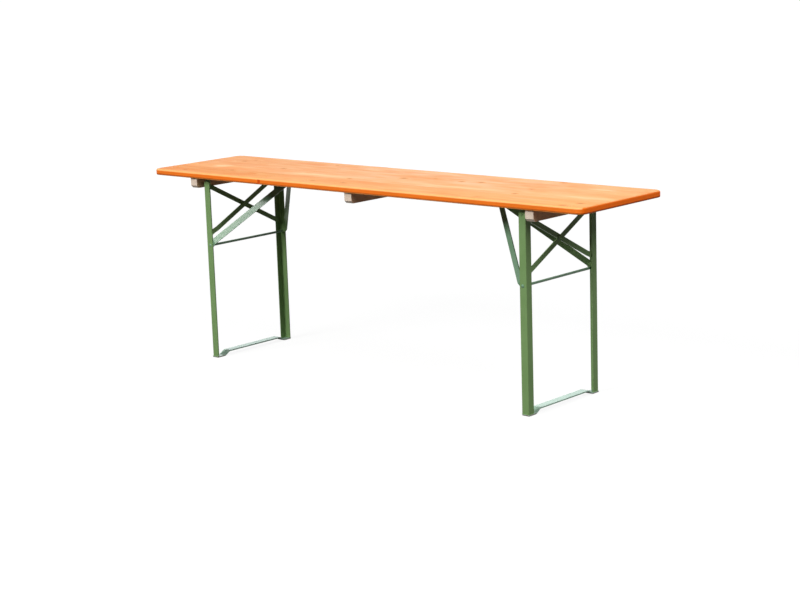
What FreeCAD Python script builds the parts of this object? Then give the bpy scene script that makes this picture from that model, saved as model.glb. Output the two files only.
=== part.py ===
"""Folding festival table: a glued softwood top on two steel leg frames that fold flat under it.

Frame: +X along the table, +Y across it towards the back, +Z up, origin on the floor under the middle of
the top. Each end of the table is the same set of pieces. They are drawn for the right end, at +X, and the
left end is that end turned half round about Z, so a front piece of one end is a back piece of the other.
"""
import FreeCAD, Part
import math
import os
import Sketcher

# Every driving dimension, in millimetres, degrees or counts, goes into the sheet once.
SIZES = (
    # the glued top
    ("top_length", 2200),
    ("top_width", 500),
    ("top_thickness", 25),
    ("table_height", 780),
    ("corner_radius", 32),
    ("edge_round", 7),
    ("edge_ease", 5),
    ("front_board_share", 0.288),
    ("second_board_share", 0.2),
    ("third_board_share", 0.256),
    ("finger_joint_offset", 469),
    ("finger_length", 12),
    ("finger_count", 12),
    # the cross battens and their screws
    ("batten_width", 36),
    ("batten_height", 42),
    ("batten_setback", 13),
    ("batten_chamfer", 10),
    ("batten_gap", 18),
    ("batten_screw_diameter", 5),
    ("batten_screw_head", 10),
    ("batten_screw_cone", 3),
    ("batten_screw_length", 60),
    ("screw_point", 4),
    # the angle steel legs
    ("leg_end_setback", 271),
    ("leg_side_setback", 37),
    ("leg_flange", 30),
    ("leg_wall", 3),
    ("leg_root_radius", 2),
    ("leg_toe_radius", 1.2),
    ("leg_top_drop", 15),
    ("leg_top_round", 8),
    # the top pivots and the cross rod
    ("pivot_inset", 17.5),
    ("pivot_drop", 23.5),
    ("rod_drop", 256.5),
    ("rod_diameter", 10),
    ("rivet_head", 14),
    ("rivet_head_height", 3.5),
    ("rivet_tail", 13),
    ("rivet_tail_height", 2.5),
    # the foot bars
    ("foot_bar_width", 33),
    ("foot_bar_thickness", 5),
    ("foot_bar_proud", 3),
    ("foot_bar_overhang", 2),
    ("foot_bar_rise", 15),
    ("foot_pad_margin", 9.5),
    ("foot_ramp_length", 25),
    ("foot_bend_radius", 14),
    ("foot_end_round", 3),
    ("bend_radius", 6),
    # the crossed braces
    ("brace_width", 19),
    ("brace_thickness", 4),
    ("brace_top_drop", 33),
    ("brace_bottom_drop", 236),
    ("brace_end_gap", 14),
    ("brace_pad_length", 26),
    ("brace_ramp_length", 14),
    ("brace_rivet_diameter", 6),
    ("brace_rivet_head", 11),
    ("brace_rivet_head_height", 2.5),
    # the struts and their lock pins
    ("strut_width", 25),
    ("strut_thickness", 4),
    ("strut_reach", 270.5),
    ("strut_tab_length", 22),
    ("strut_nose_run", 14),
    ("strut_nose_radius", 7.5),
    ("strut_taper_length", 26),
    ("pin_drop", 13),
    ("pin_diameter", 7),
    ("pin_length", 30),
    ("pin_chamfer", 1),
    # the hinge brackets
    ("bracket_wall", 3),
    ("bracket_length", 46),
    ("bracket_base_width", 45),
    ("bracket_bend", 2),
    ("bracket_shoulder", 4),
    ("bracket_corner", 5),
    ("bracket_screw_spacing", 28),
    ("ear_radius", 13),
    # the catches under the top
    ("plate_wall", 2.5),
    ("plate_width", 52),
    ("plate_back", 20),
    ("plate_front", 84),
    ("plate_corner", 6),
    ("plate_screw_spacing", 40),
    ("plate_screw_place", 5),
    ("cheek_wall", 3),
    ("cheek_gap", 18),
    ("cheek_front", 19),
    ("hook_wall", 3.7),
    ("hook_lip", 8),
    ("slot_angle", 19),
    ("slot_length", 14),
    ("spring_wall", 1.5),
    ("spring_width", 16),
    ("spring_root_start", 52),
    ("spring_root_length", 26),
    ("spring_screw_edge", 7),
    ("spring_screw_spacing", 12),
    ("tongue_tip", 11.2),
    ("tongue_tip_height", 3.2),
    ("tongue_lip_drop", 4.2),
    ("tongue_gap", 0.2),
    ("plate_screw_diameter", 4),
    ("plate_screw_head", 8),
    ("plate_screw_head_height", 2.4),
    ("plate_screw_length", 18),
    # fits shared by all pieces
    ("running_clearance", 0.05),
    ("side_clearance", 0.3),
    ("round_margin", 0.05),
    ("overrun", 5),
)

DOCUMENT = FreeCAD.newDocument("folding_table")
SHEET = DOCUMENT.addObject("Spreadsheet::Sheet", "sizes")
X_AXIS = FreeCAD.Vector(1, 0, 0)
Y_AXIS = FreeCAD.Vector(0, 1, 0)
Z_AXIS = FreeCAD.Vector(0, 0, 1)
ENDS = ("left", "right")
ROWS = ("front", "back")
NODES = []


class Size:
    """A size that keeps its number together with the sheet expression that gives it."""

    def __init__(self, value, text):
        self.value = float(value)
        self.text = text

    def __add__(self, other):
        other = as_size(other)
        return Size(self.value + other.value, f"({self.text} + {other.text})")

    def __sub__(self, other):
        other = as_size(other)
        return Size(self.value - other.value, f"({self.text} - {other.text})")

    def __mul__(self, other):
        other = as_size(other)
        return Size(self.value * other.value, f"({self.text} * {other.text})")

    def __truediv__(self, other):
        other = as_size(other)
        return Size(self.value / other.value, f"({self.text} / {other.text})")

    def __neg__(self):
        return Size(-self.value, f"(-{self.text})")

    __radd__ = __add__
    __rmul__ = __mul__


def as_size(number):
    if isinstance(number, Size):
        return number
    return Size(number, repr(number))


def root_of_squares(first, second):
    """The long side of a right triangle."""
    return Size(math.hypot(first.value, second.value), f"sqrt({first.text}^2 + {second.text}^2)")


def half_turn(rise, run):
    """The tangent of half the angle of a slope, by which a bent strip's two faces are out of step."""
    angle = math.atan2(rise.value, run.value)
    return Size(math.tan(angle / 2), f"tan(atan({rise.text} / {run.text}) / 2)")


def cosine(angle):
    return Size(math.cos(math.radians(angle.value)), f"cos({angle.text} * 1 deg)")


def sine(angle):
    return Size(math.sin(math.radians(angle.value)), f"sin({angle.text} * 1 deg)")


class Dimensions:
    """The sheet's cells by name, each as a Size."""

    def __init__(self):
        for row, (name, number) in enumerate(SIZES, start=1):
            SHEET.set(f"A{row}", name)
            SHEET.set(f"B{row}", str(number))
            SHEET.setAlias(f"B{row}", name)
        DOCUMENT.recompute()
        for name, number in SIZES:
            setattr(self, name, Size(SHEET.get(name), f"sizes.{name}"))


D = Dimensions()

# Places that many pieces share, at the right end of the table.
UNDERSIDE = D.table_height - D.top_thickness
HALF_LENGTH = D.top_length / 2
HALF_WIDTH = D.top_width / 2
LEG_X = HALF_LENGTH - D.leg_end_setback
LEG_Y = HALF_WIDTH - D.leg_side_setback
PIVOT_X = LEG_X - D.pivot_inset
PIVOT_Z = UNDERSIDE - D.pivot_drop
ROD_Z = PIVOT_Z - D.rod_drop
PIN_X = PIVOT_X - D.strut_reach
PIN_Z = UNDERSIDE - D.pin_drop
PIN_RISE = PIN_Z - ROD_Z
STRUT_LENGTH = root_of_squares(D.strut_reach, PIN_RISE)
FLANGE_INSIDE = LEG_Y - D.leg_wall - D.side_clearance
ROD_HOLE = D.rod_diameter / 2 + D.running_clearance
PIN_HOLE = D.pin_diameter / 2 + D.running_clearance
PLATE_SCREW_HOLE = D.plate_screw_diameter / 2 + D.running_clearance
CATCH_DEPTH = D.pin_drop - D.plate_wall
FRONT_SHARES = (
    as_size(0),
    D.front_board_share,
    D.front_board_share + D.second_board_share,
    D.front_board_share + D.second_board_share + D.third_board_share,
    as_size(1),
)
BOARD_EDGES = tuple(D.top_width * share - HALF_WIDTH for share in FRONT_SHARES)


def bind(thing, prop, size):
    setattr(thing, prop, size.value)
    thing.setExpression(prop, size.text)


def row_sign(end, row):
    """The side of the piece in the right end's frame: the left end is turned half round."""
    return -1 if (row == "front") == (end == "right") else 1


def place(thing, end, x=0, y=0, z=0, rotation=None):
    """Sets a piece at its end of the table, bound to the sizes that give its place."""
    turn = FreeCAD.Rotation(Z_AXIS, 180 if end == "left" else 0)
    facing = -1 if end == "left" else 1
    spot = (as_size(x) * facing, as_size(y) * facing, as_size(z))
    base = FreeCAD.Vector(*(part.value for part in spot))
    thing.Placement = FreeCAD.Placement(base, turn * (rotation or FreeCAD.Rotation()))
    for axis, part in zip("xyz", spot):
        thing.setExpression(f"Placement.Base.{axis}", part.text)


def new_body(label):
    body = DOCUMENT.addObject("PartDesign::Body", label)
    body.Label = label
    return body


def keep(thing):
    """Marks a finished piece as a node of its own."""
    NODES.append(thing)
    return thing


def new_sketch(body, role, name, offset=None):
    sketch = body.newObject("Sketcher::SketchObject", f"{body.Label}_{name}")
    plane = next(feature for feature in body.Origin.OriginFeatures if feature.Role == role)
    sketch.AttachmentSupport = [(plane, "")]
    sketch.MapMode = "FlatFace"
    if offset is not None:
        sketch.AttachmentOffset = FreeCAD.Placement(Z_AXIS * offset.value, FreeCAD.Rotation())
        sketch.setExpression("AttachmentOffset.Base.z", offset.text)
    return sketch


def hold_point(sketch, geometry, position, point, axes="xy"):
    """Fixes a point of a sketch at its sizes, or on an axis where a size is zero."""
    rules = {"x": ("DistanceX", -2, point[0]), "y": ("DistanceY", -1, point[1])}
    for name in axes:
        kind, axis, size = rules[name]
        if abs(size.value) < 1e-9:
            sketch.addConstraint(Sketcher.Constraint("PointOnObject", geometry, position, axis))
            continue
        constraint = Sketcher.Constraint(kind, -1, 1, geometry, position, size.value)
        number = sketch.addConstraint(constraint)
        sketch.setExpression(f"Constraints[{number}]", size.text)


def flat_point(point):
    return FreeCAD.Vector(as_size(point[0]).value, as_size(point[1]).value, 0)


def arc_between(start, finish, centre, turn):
    """An arc round a centre; the sketch always keeps it running to the left."""
    angles = [math.atan2(tip.y - centre.y, tip.x - centre.x) for tip in (start, finish)]
    if turn < 0:
        angles.reverse()
    return Part.ArcOfCircle(Part.Circle(centre, Z_AXIS, (start - centre).Length), *angles)


def outline(sketch, points, arcs=None):
    """Draws a closed outline; arcs maps a side's number to its centre and turn, 1 to the left."""
    arcs = arcs or {}
    points = [(as_size(x), as_size(y)) for x, y in points]
    flat = [flat_point(point) for point in points]
    ends = []
    for number, start in enumerate(flat):
        finish = flat[(number + 1) % len(flat)]
        if number not in arcs:
            geometry = sketch.addGeometry(Part.LineSegment(start, finish), False)
            ends.append((geometry, 1, 2))
            continue
        centre, turn = arcs[number]
        arc = arc_between(start, finish, flat_point(centre), turn)
        geometry = sketch.addGeometry(arc, False)
        ends.append((geometry, 1, 2) if turn > 0 else (geometry, 2, 1))
        chord = finish - start
        across = "x" if abs(chord.y) > abs(chord.x) else "y"
        hold_point(sketch, geometry, 3, [as_size(part) for part in centre], across)
    for number, (geometry, _, last) in enumerate(ends):
        following, first, _ = ends[(number + 1) % len(ends)]
        sketch.addConstraint(Sketcher.Constraint("Coincident", geometry, last, following, first))
    for (geometry, first, _), point in zip(ends, points):
        hold_point(sketch, geometry, first, point)


def rectangle(sketch, low_x, low_y, high_x, high_y):
    outline(sketch, [(low_x, low_y), (high_x, low_y), (high_x, high_y), (low_x, high_y)])


def circles(sketch, centres, radius):
    for x, y in centres:
        point = (as_size(x), as_size(y))
        centre = FreeCAD.Vector(point[0].value, point[1].value, 0)
        geometry = sketch.addGeometry(Part.Circle(centre, Z_AXIS, radius.value), False)
        number = sketch.addConstraint(Sketcher.Constraint("Radius", geometry, radius.value))
        sketch.setExpression(f"Constraints[{number}]", radius.text)
        hold_point(sketch, geometry, 3, point)


def settle(feature):
    """Recomputes, and stops at a feature that did not come out."""
    DOCUMENT.recompute()
    failed = [thing.Label for thing in DOCUMENT.Objects if "Invalid" in thing.State]
    if failed:
        raise RuntimeError(f"{failed} failed at {feature.Label}")
    return feature


def pad(body, sketch, length, both_ways=False):
    feature = body.newObject("PartDesign::Pad", f"{sketch.Label}_pad")
    feature.Profile = sketch
    bind(feature, "Length", length)
    feature.Midplane = both_ways
    return settle(feature)


def pocket(body, sketch):
    """Cuts right through, both ways from the sketch, and makes sure that it did cut."""
    before = body.Shape.Volume
    feature = body.newObject("PartDesign::Pocket", f"{sketch.Label}_pocket")
    feature.Profile = sketch
    feature.Type = "ThroughAll"
    feature.Midplane = True
    settle(feature)
    if not body.Shape.Volume < before:
        raise RuntimeError(f"{feature.Label} cuts nothing")
    return feature


def revolve(body, sketch):
    feature = body.newObject("PartDesign::Revolution", f"{sketch.Label}_turned")
    feature.Profile = sketch
    feature.ReferenceAxis = (sketch, ["V_Axis"])
    feature.Angle = 360
    return settle(feature)


def round_edges(body, name, radius, spots):
    """Rounds the edges whose middles lie nearest to the given spots of the body."""
    base = body.Tip
    names = []
    for spot in spots:
        middle = FreeCAD.Vector(*(as_size(part).value for part in spot))
        gaps = [(edge.CenterOfMass - middle).Length for edge in base.Shape.Edges]
        names.append(f"Edge{gaps.index(min(gaps)) + 1}")
    feature = body.newObject("PartDesign::Fillet", f"{body.Label}_{name}")
    feature.Base = (base, sorted(set(names)))
    bind(feature, "Radius", radius)
    return settle(feature)


def copies(label, master, spots):
    """One object of separate equal solids, set by hand at each spot."""
    group = DOCUMENT.addObject("Part::Feature", label)
    group.Label = label
    solids = []
    for spot in spots:
        solid = master.Shape.copy()
        solid.translate(FreeCAD.Vector(*(as_size(part).value for part in spot)))
        solids.append(solid)
    group.Shape = Part.makeCompound(solids)
    return group


def boolean(kind, label, base, tool):
    result = DOCUMENT.addObject(kind, label)
    result.Label = label
    result.Base = base
    result.Tool = tool
    return settle(result)


def turned_rivet(label, grip, shank, head, head_height, tail, tail_height):
    """A rivet along +Z with its outer head under z = 0 and its tail head past the grip."""
    body = new_body(label)
    sketch = new_sketch(body, "XZ_Plane", "profile")
    head_round = (head * head + head_height * head_height) / (head_height * 2)
    tail_round = (tail * tail + tail_height * tail_height) / (tail_height * 2)
    points = [
        (0, -head_height),
        (head, 0),
        (shank, 0),
        (shank, grip),
        (tail, grip),
        (0, grip + tail_height),
    ]
    arcs = {
        0: ((0, head_round - head_height), 1),
        4: ((0, grip + tail_height - tail_round), 1),
    }
    outline(sketch, points, arcs)
    revolve(body, sketch)
    return body


def turned_screw(label, ease, shank, length, head, head_height, sunk):
    """A wood screw along +Z whose head bears at z = 0; ease makes the hole that it sits in."""
    body = new_body(label)
    sketch = new_sketch(body, "XZ_Plane", "profile")
    head_wide = head / 2 + ease
    shank_wide = shank / 2 + ease
    if sunk:
        head_points = [(0, 0), (head_wide, 0), (shank_wide, head_height)]
    else:
        head_points = [(0, -head_height), (head_wide, -head_height), (head_wide, 0), (shank_wide, 0)]
    tip_points = [(shank_wide, length - D.screw_point), (0, length + ease)]
    outline(sketch, head_points + tip_points)
    revolve(body, sketch)
    return body


def screw_pair(name, shank, length, head, head_height, sunk):
    """The screw itself and the slightly larger shape of its hole."""
    screw = turned_screw(f"{name}_master", as_size(0), shank, length, head, head_height, sunk)
    hole = turned_screw(f"{name}_hole", D.running_clearance, shank, length, head, head_height, sunk)
    return screw, hole


def batten_places():
    """The middle of each batten along the table."""
    outer = LEG_X + D.batten_gap + D.batten_width / 2
    return {"left": -outer, "middle": as_size(0), "right": outer}


def batten_screw_spots():
    """One screw from each batten into the middle of each board."""
    spots = {}
    for name, x in batten_places().items():
        pairs = zip(BOARD_EDGES, BOARD_EDGES[1:])
        spots[name] = [(x, (low + high) / 2, UNDERSIDE - D.batten_height) for low, high in pairs]
    return spots


def bracket_screw_spots():
    across = FLANGE_INSIDE - (D.bracket_base_width + D.bracket_wall) / 2
    spots = []
    for facing in (-1, 1):
        for row in (-1, 1):
            for step in (-1, 1):
                along = (PIVOT_X + D.bracket_screw_spacing * step / 2) * facing
                spots.append((along, across * row, UNDERSIDE - D.bracket_wall))
    return spots


def catch_screw_places():
    """Screw places of one catch, as (inwards from the pin, across, depth under the top)."""
    side = D.plate_screw_spacing / 2
    first = D.spring_root_start + D.spring_screw_edge
    under_spring = D.plate_wall + D.spring_wall
    return [
        (D.plate_screw_place, side, D.plate_wall),
        (D.plate_screw_place, -side, D.plate_wall),
        (first, as_size(0), under_spring),
        (first + D.spring_screw_spacing, as_size(0), under_spring),
    ]


def catch_screw_spots():
    spots = []
    for facing in (-1, 1):
        for inwards, across, depth in catch_screw_places():
            spots.append(((PIN_X - inwards) * facing, across, UNDERSIDE - depth))
    return spots


def make_panel():
    """The whole glued panel with its rounded corners and edges, before it is parted into boards."""
    body = new_body("top_panel")
    sketch = new_sketch(body, "XY_Plane", "plan", UNDERSIDE)
    rectangle(sketch, -HALF_LENGTH, -HALF_WIDTH, HALF_LENGTH, HALF_WIDTH)
    pad(body, sketch, D.top_thickness)
    middle = UNDERSIDE + D.top_thickness / 2
    corners = [(HALF_LENGTH * x, HALF_WIDTH * y, middle) for x in (-1, 1) for y in (-1, 1)]
    round_edges(body, "corners", D.corner_radius, corners)
    round_edges(body, "upper_edge", D.edge_round, [(0, -HALF_WIDTH, D.table_height)])
    round_edges(body, "lower_edge", D.edge_ease, [(0, -HALF_WIDTH, UNDERSIDE)])
    return body


def finger_line():
    """The zigzag line of the glued finger joint across the front board."""
    low = BOARD_EDGES[0] - D.overrun
    high = BOARD_EDGES[1]
    pitch = (BOARD_EDGES[1] - BOARD_EDGES[0]) / D.finger_count
    line = [(-D.finger_joint_offset - D.finger_length / 2, low)]
    for number in range(int(D.finger_count.value)):
        side = D.finger_length / 2 * (1 if number % 2 else -1)
        line.append((side - D.finger_joint_offset, BOARD_EDGES[0] + pitch * number))
    last = D.finger_length / 2 * (1 if int(D.finger_count.value) % 2 else -1)
    line.append((last - D.finger_joint_offset, high))
    return line


def make_boards(panel):
    """Four boards across the top; the front one is two lengths glued with a finger joint."""
    far = HALF_LENGTH + D.overrun
    line = finger_line()
    sides = (("left", -far), ("right", far))
    for side, edge in sides:
        blank = new_body(f"front_{side}_blank")
        sketch = new_sketch(blank, "XY_Plane", "plan", UNDERSIDE - D.overrun)
        outline(sketch, [(edge, BOARD_EDGES[0] - D.overrun)] + line + [(edge, BOARD_EDGES[1])])
        pad(blank, sketch, D.top_thickness + D.overrun * 2)
        keep(boolean("Part::Common", f"top_board_front_{side}", panel, blank))
    for name, low, high in zip(("second", "third", "back"), BOARD_EDGES[1:], BOARD_EDGES[2:]):
        blank = DOCUMENT.addObject("Part::Box", f"{name}_blank")
        bind(blank, "Length", far * 2)
        bind(blank, "Width", high - low)
        bind(blank, "Height", D.top_thickness + D.overrun * 2)
        place(blank, "right", -far, low, UNDERSIDE - D.overrun)
        keep(boolean("Part::Common", f"top_board_{name}", panel, blank))


def make_batten(name, x, hole):
    """A raw wood cross batten, its lower ends cut off at an angle, drilled for its screws."""
    label = f"batten_{name}"
    body = new_body(f"{label}_blank")
    sketch = new_sketch(body, "YZ_Plane", "side")
    end = HALF_WIDTH - D.batten_setback
    low = -D.batten_height
    points = [
        (-end, 0),
        (-end, low + D.batten_chamfer),
        (D.batten_chamfer - end, low),
        (end - D.batten_chamfer, low),
        (end, low + D.batten_chamfer),
        (end, 0),
    ]
    outline(sketch, points)
    pad(body, sketch, D.batten_width, both_ways=True)
    place(body, "right", x, 0, UNDERSIDE)
    holes = copies(f"{label}_holes", hole, batten_screw_spots()[name])
    keep(boolean("Part::Cut", label, body, holes))


def make_leg(end, row):
    """An angle steel leg, its corner on the outside of the frame, drilled for the pivot and the rod."""
    side = row_sign(end, row)
    body = new_body(f"leg_{end}_{row}")
    sketch = new_sketch(body, "XY_Plane", "section", D.foot_bar_thickness)
    inner_x = LEG_X - D.leg_wall
    inner_y = LEG_Y - D.leg_wall
    toe_x = LEG_X - D.leg_flange
    toe_y = LEG_Y - D.leg_flange
    points = [
        (LEG_X, LEG_Y * side),
        (toe_x, LEG_Y * side),
        (toe_x, inner_y * side),
        (inner_x, inner_y * side),
        (inner_x, toe_y * side),
        (LEG_X, toe_y * side),
    ]
    outline(sketch, points)
    top = UNDERSIDE - D.leg_top_drop
    length = top - D.foot_bar_thickness
    pad(body, sketch, length)
    middle = D.foot_bar_thickness + length / 2
    round_edges(body, "root", D.leg_root_radius, [(inner_x, inner_y * side, middle)])
    toes = [(toe_x, inner_y * side, middle), (inner_x, toe_y * side, middle)]
    round_edges(body, "toes", D.leg_toe_radius, toes)
    crown = new_sketch(body, "XZ_Plane", "crown")
    curve = D.leg_top_round
    crown_points = [
        (toe_x - D.overrun, top - curve),
        (toe_x, top - curve),
        (toe_x + curve, top),
        (toe_x + curve, top + D.overrun),
        (toe_x - D.overrun, top + D.overrun),
    ]
    outline(crown, crown_points, {1: ((toe_x + curve, top - curve), -1)})
    pocket(body, crown)
    holes = new_sketch(body, "XZ_Plane", "holes")
    circles(holes, [(PIVOT_X, PIVOT_Z), (PIVOT_X, ROD_Z)], ROD_HOLE)
    pocket(body, holes)
    place(body, end)
    keep(body)


def make_foot_bar(end):
    """A flat bar on the floor under both legs, joggled so that its long middle run stands clear."""
    body = new_body(f"foot_bar_{end}")
    inner_edge = LEG_X + D.foot_bar_proud - D.foot_bar_width
    sketch = new_sketch(body, "YZ_Plane", "side", inner_edge)
    wall = D.foot_bar_thickness
    rise = D.foot_bar_rise
    tip = LEG_Y + D.foot_bar_overhang
    pad_end = LEG_Y - D.leg_flange - D.foot_pad_margin
    run_end = pad_end - D.foot_ramp_length
    step = wall * half_turn(rise, D.foot_ramp_length)
    lower = [(tip, 0), (pad_end, 0), (run_end, rise)]
    upper = [(run_end + step, rise + wall), (pad_end + step, wall), (tip, wall)]
    mirrored_lower = [(-as_size(y), z) for y, z in reversed(lower)]
    mirrored_upper = [(-as_size(y), z) for y, z in reversed(upper)]
    outline(sketch, lower + mirrored_lower + mirrored_upper + upper)
    pad(body, sketch, D.foot_bar_width)
    middle = inner_edge + D.foot_bar_width / 2
    inside = [(run_end, rise), (pad_end + step, wall)]
    outside = [(pad_end, 0), (run_end + step, rise + wall)]
    inner_bend = D.foot_bend_radius
    for name, radius, places in (("inner", inner_bend, inside), ("outer", inner_bend + wall, outside)):
        spots = [(middle, y * side, z) for y, z in places for side in (-1, 1)]
        round_edges(body, f"{name}_bends", radius, spots)
    outer_edge = inner_edge + D.foot_bar_width
    tips = [(x, tip * side, wall / 2) for x in (inner_edge, outer_edge) for side in (-1, 1)]
    round_edges(body, "tips", D.foot_end_round, tips)
    place(body, end)
    keep(body)


def make_brace(end, joggled):
    """A flat brace welded inside the legs' outer flanges; the joggled one steps over the straight one."""
    name = "joggled" if joggled else "straight"
    body = new_body(f"brace_{end}_{name}")
    run = (LEG_Y - D.brace_end_gap) * 2
    rise = D.brace_bottom_drop - D.brace_top_drop
    half = root_of_squares(run, rise) / 2
    wall = D.brace_thickness
    sketch = new_sketch(body, "XY_Plane", "edge")
    if joggled:
        pad_end = half - D.brace_pad_length
        run_end = pad_end - D.brace_ramp_length
        step = wall * half_turn(wall, D.brace_ramp_length)
        near = [(half, 0), (pad_end, 0), (run_end, wall)]
        off = [(run_end + step, wall * 2), (pad_end + step, wall), (half, wall)]
        near_mirrored = [(-as_size(x), y) for x, y in reversed(near)]
        off_mirrored = [(-as_size(x), y) for x, y in reversed(off)]
        outline(sketch, near + near_mirrored + off_mirrored + off)
    else:
        rectangle(sketch, -half, 0, half, wall)
    pad(body, sketch, D.brace_width, both_ways=True)
    hole = new_sketch(body, "XZ_Plane", "hole")
    circles(hole, [(0, 0)], D.brace_rivet_diameter / 2 + D.running_clearance)
    pocket(body, hole)
    lean = math.atan2(rise.value, run.value) * (-1 if joggled else 1)
    along = FreeCAD.Vector(0, math.cos(lean), math.sin(lean))
    inwards = -X_AXIS
    turn = FreeCAD.Rotation(along, inwards, along.cross(inwards), "XYZ")
    height = UNDERSIDE - (D.brace_top_drop + D.brace_bottom_drop) / 2
    place(body, end, LEG_X - D.leg_wall, 0, height, turn)
    keep(body)


def make_brace_rivet(end):
    body = turned_rivet(
        f"brace_rivet_{end}",
        D.brace_thickness * 2,
        D.brace_rivet_diameter / 2,
        D.brace_rivet_head / 2,
        D.brace_rivet_head_height,
        D.brace_rivet_head / 2,
        D.brace_rivet_head_height,
    )
    height = UNDERSIDE - (D.brace_top_drop + D.brace_bottom_drop) / 2
    place(body, end, LEG_X - D.leg_wall, 0, height, FreeCAD.Rotation(Z_AXIS, -X_AXIS))
    keep(body)


def make_cross_rod(end):
    """The round rod that carries the struts, with its ends headed over on the legs."""
    body = turned_rivet(
        f"cross_rod_{end}",
        LEG_Y * 2,
        D.rod_diameter / 2,
        D.rivet_head / 2,
        D.rivet_head_height,
        D.rivet_head / 2,
        D.rivet_head_height,
    )
    place(body, end, PIVOT_X, -LEG_Y, ROD_Z, FreeCAD.Rotation(Z_AXIS, Y_AXIS))
    keep(body)


def make_pivot_rivets(end):
    """The two rivets on which a leg frame turns in its hinge brackets."""
    grip = D.leg_wall + D.side_clearance + D.bracket_wall + D.running_clearance
    rivets = []
    for row in ROWS:
        side = row_sign(end, row)
        rivet = turned_rivet(
            f"pivot_rivet_{end}_{row}",
            grip,
            D.rod_diameter / 2,
            D.rivet_head / 2,
            D.rivet_head_height,
            D.rivet_tail / 2,
            D.rivet_tail_height,
        )
        place(rivet, end, PIVOT_X, LEG_Y * side, PIVOT_Z, FreeCAD.Rotation(Z_AXIS, Y_AXIS * -side))
        rivets.append(rivet)
    group = DOCUMENT.addObject("Part::Compound", f"pivot_rivets_{end}")
    group.Label = f"pivot_rivets_{end}"
    group.Links = rivets
    keep(settle(group))


def make_strut(end, row):
    """A flat bar on edge: flat against the leg at the rod, bent in to its partner at the lock pin."""
    side = row_sign(end, row)
    body = new_body(f"strut_{end}_{row}")
    wall = D.strut_thickness
    half = D.strut_width / 2
    nose = D.strut_nose_radius
    tip = STRUT_LENGTH + nose
    tab_face = FLANGE_INSIDE - wall
    meet = STRUT_LENGTH - D.strut_nose_run
    step = wall * half_turn(tab_face, meet - D.strut_tab_length)
    sketch = new_sketch(body, "XY_Plane", "edge")
    inner = [(-half, tab_face), (D.strut_tab_length, tab_face), (meet, as_size(0)), (tip, as_size(0))]
    outer = [
        (tip, wall),
        (meet + step, wall),
        (D.strut_tab_length + step, FLANGE_INSIDE),
        (-half, FLANGE_INSIDE),
    ]
    outline(sketch, [(x, y * side) for x, y in inner + outer])
    pad(body, sketch, D.strut_width, both_ways=True)
    tight = [inner[1], outer[1]]
    wide = [outer[2], inner[2]]
    for name, radius, places in (("inner", D.bend_radius, tight), ("outer", D.bend_radius + wall, wide)):
        round_edges(body, f"{name}_bends", radius, [(x, y * side, 0) for x, y in places])
    taper = new_sketch(body, "XZ_Plane", "taper")
    beyond = tip + D.overrun
    for flank in (-1, 1):
        points = [
            (STRUT_LENGTH - D.strut_taper_length, half * flank),
            (STRUT_LENGTH, nose * flank),
            (beyond, nose * flank),
            (beyond, (half + D.overrun) * flank),
            (STRUT_LENGTH - D.strut_taper_length, (half + D.overrun) * flank),
        ]
        outline(taper, points)
    pocket(body, taper)
    nose_corners = [(tip, wall / 2 * side, nose * flank) for flank in (-1, 1)]
    round_edges(body, "nose", nose - D.round_margin, nose_corners)
    tab_corners = [(-half, (tab_face + wall / 2) * side, half * flank) for flank in (-1, 1)]
    round_edges(body, "tab", half - D.round_margin, tab_corners)
    rod_hole = new_sketch(body, "XZ_Plane", "rod_hole")
    circles(rod_hole, [(0, 0)], ROD_HOLE)
    pocket(body, rod_hole)
    pin_hole = new_sketch(body, "XZ_Plane", "pin_hole")
    circles(pin_hole, [(STRUT_LENGTH, 0)], PIN_HOLE)
    pocket(body, pin_hole)
    along = FreeCAD.Vector(-D.strut_reach.value, 0, PIN_RISE.value).normalize()
    turn = FreeCAD.Rotation(along, Y_AXIS, along.cross(Y_AXIS), "XYZ")
    place(body, end, PIVOT_X, 0, ROD_Z, turn)
    keep(body)


def make_lock_pin(end):
    """The cross pin through both strut noses that seats in the catch's hooks."""
    body = new_body(f"lock_pin_{end}")
    sketch = new_sketch(body, "XZ_Plane", "profile")
    radius = D.pin_diameter / 2
    half = D.pin_length / 2
    points = [
        (0, -half),
        (radius - D.pin_chamfer, -half),
        (radius, D.pin_chamfer - half),
        (radius, half - D.pin_chamfer),
        (radius - D.pin_chamfer, half),
        (0, half),
    ]
    outline(sketch, points)
    revolve(body, sketch)
    place(body, end, PIN_X, 0, PIN_Z, FreeCAD.Rotation(Z_AXIS, Y_AXIS))
    keep(body)


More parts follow.
